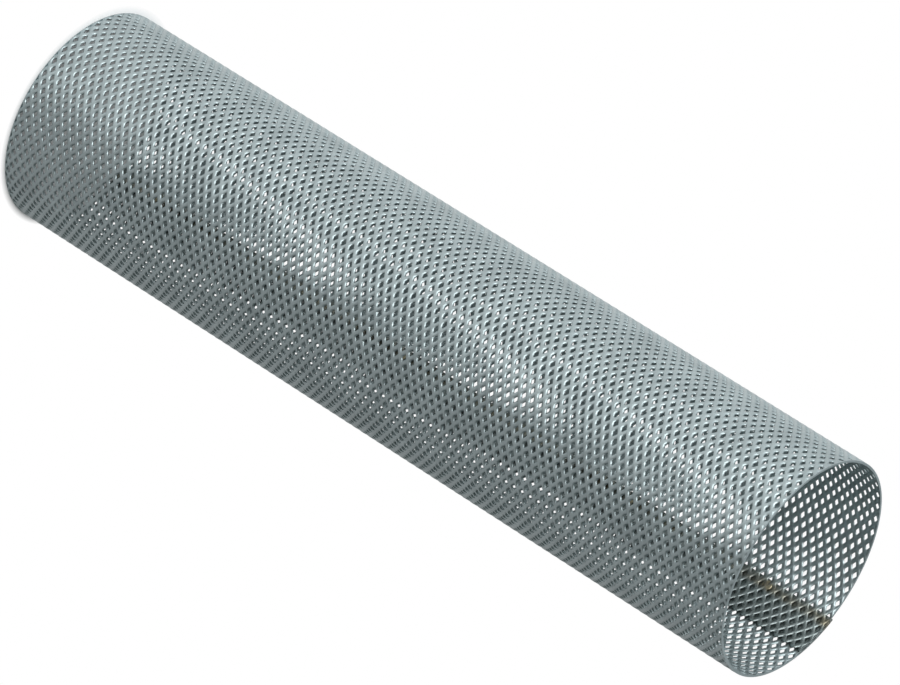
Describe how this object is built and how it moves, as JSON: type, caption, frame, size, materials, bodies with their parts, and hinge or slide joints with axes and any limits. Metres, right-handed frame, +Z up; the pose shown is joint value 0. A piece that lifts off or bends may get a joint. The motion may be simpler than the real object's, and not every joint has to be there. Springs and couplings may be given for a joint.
{
  "type": "round expanded mesh filter tube",
  "caption": "Open round strainer tube rolled from fine flattened expanded metal in stainless steel, with a lapped, spot-welded seam along its length and both ends left open",
  "frame": {"origin": "on the tube's axis, in the plane of the lower rim that it stands on", "axes": "+Z up along the tube's axis; +Y points to the side that the lapped seam is on"},
  "size_m": [0.048, 0.0479, 0.196],
  "materials": {
    "stainless_sheet": "bright mill finish, cool grey"
  },
  "bodies": {
    "root": {"mesh_tube": "stainless_sheet"}
  },
  "joints": []
}
